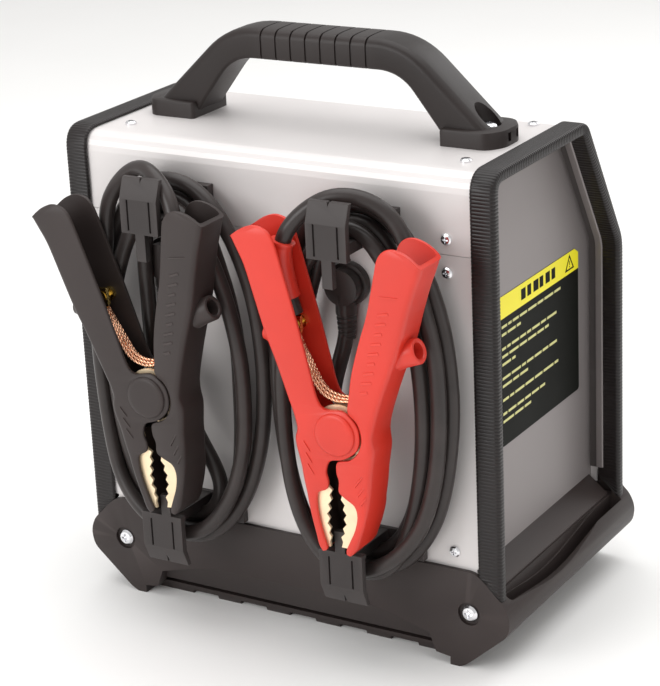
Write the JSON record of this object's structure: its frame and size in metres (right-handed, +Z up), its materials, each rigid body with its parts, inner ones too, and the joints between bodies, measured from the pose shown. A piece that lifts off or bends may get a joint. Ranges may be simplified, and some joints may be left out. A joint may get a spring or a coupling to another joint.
{
  "type": "jump starter pack",
  "caption": "Portable jump starter: sheet-metal case on a moulded base, carry handle, spring battery clamps on leads wound over cord hooks, sloped control face.",
  "frame": {"origin": "centre of the footprint on the ground, underside of the base (leads and clamps left out)", "axes": "+X to the right when facing the lead side, +Y away from the lead side towards the control face, +Z up"},
  "size_m": [0.3508, 0.2727, 0.424],
  "materials": {
    "case_silver": "satin silver powder coat",
    "side_grey": "satin grey",
    "base_black": "fine moulded texture",
    "hook_black": "moulded",
    "trim_rubber": "ribbed",
    "handle_black": "moulded, soft sheen",
    "screw_steel": "bright plated",
    "label": "printed film",
    "lead_rubber": "satin",
    "grip_black": "moulded",
    "grip_red": "moulded, soft sheen",
    "jaw_brass": "pale plated, toothed",
    "copper_braid": "braided copper strands",
    "bolt_brass": "bright",
    "spring_steel": "drawn wire",
    "fascia_black": "printed panel",
    "knob_red": "moulded",
    "button_white": "moulded",
    "lens_green": "tinted lens",
    "battery_grey": "moulded",
    "lead_metal": "cast",
    "bracket_steel": "plated",
    "fuse_amber": "moulded",
    "board_green": "circuit board",
    "link_red": "satin"
  },
  "bodies": {
    "pack": {"base_tray": "base_black", "rear_panel": "case_silver", "top_cover": "case_silver", "control_panel": "case_silver", "side_panel_left": "side_grey", "side_panel_right": "side_grey", "edge_trim_left": "trim_rubber", "edge_trim_right": "trim_rubber", "caution_plate": "label", "carry_handle": "handle_black", "handle_bolts": "screw_steel", "cover_screws": "screw_steel", "base_screws": "screw_steel", "hook_upper_black": "hook_black", "hook_upper_red": "hook_black", "hook_lower_black": "hook_black", "hook_lower_red": "hook_black", "gland_black": "lead_rubber", "gland_red": "lead_rubber", "black_lead_lug": "copper_braid", "lead_start_black": "lead_rubber", "lead_coil_black": "lead_rubber", "lead_end_black": "lead_rubber", "black_fixed_grip": "grip_black", "black_pivot": "grip_black", "black_fixed_jaw": "jaw_brass", "black_spring": "spring_steel", "lead_start_red": "lead_rubber", "lead_coil_red": "lead_rubber", "lead_end_red": "lead_rubber", "red_fixed_grip": "grip_red", "red_pivot": "grip_red", "red_fixed_jaw": "jaw_brass", "red_spring": "spring_steel", "red_braid": "copper_braid", "red_lug_bolt": "bolt_brass", "control_fascia": "fascia_black", "switch_body": "base_black", "test_bezel": "fascia_black", "charge_lights": "lens_green", "power_socket": "fascia_black", "battery_case": "battery_grey", "battery_posts": "lead_metal", "battery_bracket": "bracket_steel", "main_fuse": "fuse_amber", "charge_board": "board_green", "positive_link": "link_red", "output_link": "link_red", "outlet_link": "link_red", "negative_link": "lead_rubber"},
    "red_clamp_arm": {"red_moving_grip": "grip_red", "red_moving_jaw": "jaw_brass"},
    "black_clamp_arm": {"black_moving_grip": "grip_black", "black_moving_jaw": "jaw_brass", "black_lug_bolt": "bolt_brass", "black_braid": "copper_braid"},
    "main_switch": {"switch_knob": "knob_red"},
    "test_key": {"test_button": "button_white"},
    "socket_flap": {"socket_cap": "fascia_black"}
  },
  "joints": [
    {"name": "red_clamp", "type": "hinge", "parent": "pack", "child": "red_clamp_arm", "pos_m": [0.08, -0.124, 0.186], "axis": [0, -1, 0], "range_deg": [0, 14], "stiffness_Nm_per_rad": 1.2, "springref_deg": -34.38, "deforming": ["red_spring", "red_braid"]},
    {"name": "black_clamp", "type": "hinge", "parent": "pack", "child": "black_clamp_arm", "pos_m": [-0.071, -0.124, 0.188], "axis": [0, 1, 0], "range_deg": [0, 17], "stiffness_Nm_per_rad": 1.2, "springref_deg": -34.38, "deforming": ["black_spring", "black_braid"]},
    {"name": "main_switch_turn", "type": "hinge", "parent": "pack", "child": "main_switch", "pos_m": [0.08, 0.09466, 0.30528], "axis": [0, -0.8624, -0.5062], "range_deg": [0, 90]},
    {"name": "test_press", "type": "slide", "parent": "pack", "child": "test_key", "axis": [0, -0.8624, -0.5062], "range_m": [0, 0.0015], "stiffness_N_per_m": 600, "springref_m": -0.0005},
    {"name": "socket_flap_lift", "type": "hinge", "parent": "pack", "child": "socket_flap", "pos_m": [-0.07, 0.1247, 0.217], "axis": [1, 0, 0], "range_deg": [0, 110]}
  ]
}
